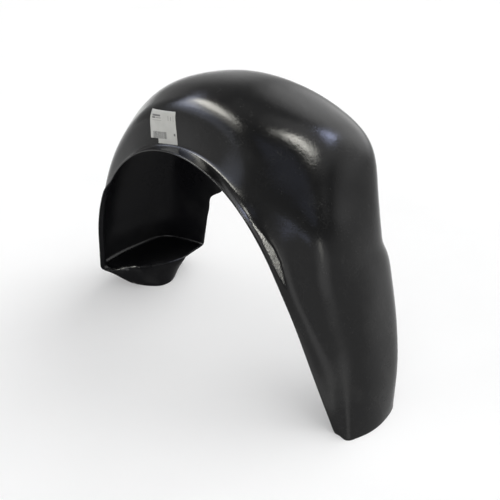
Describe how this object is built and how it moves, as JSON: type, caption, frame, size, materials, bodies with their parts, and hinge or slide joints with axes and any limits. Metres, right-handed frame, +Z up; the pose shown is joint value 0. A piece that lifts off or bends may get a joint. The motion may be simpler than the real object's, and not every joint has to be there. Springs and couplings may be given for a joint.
{
  "type": "wheel arch liner",
  "caption": "Thin moulded arch liner for a rear wheel, with an outboard lip, a domed tread, a stepped far foot and a long near leg, and a paper parts label.",
  "frame": {"origin": "on the floor under the middle of the liner as it stands on its two ends", "axes": "+X from the far foot to the near leg, -Y outboard to the open side of the arch, +Z up"},
  "size_m": [0.8412, 0.3048, 0.5647],
  "materials": {
    "liner": "black moulded sheet, semi-gloss, lightly scuffed",
    "label": "white printed paper, matt"
  },
  "bodies": {
    "root": {"liner": "liner", "label": "label"}
  },
  "joints": []
}
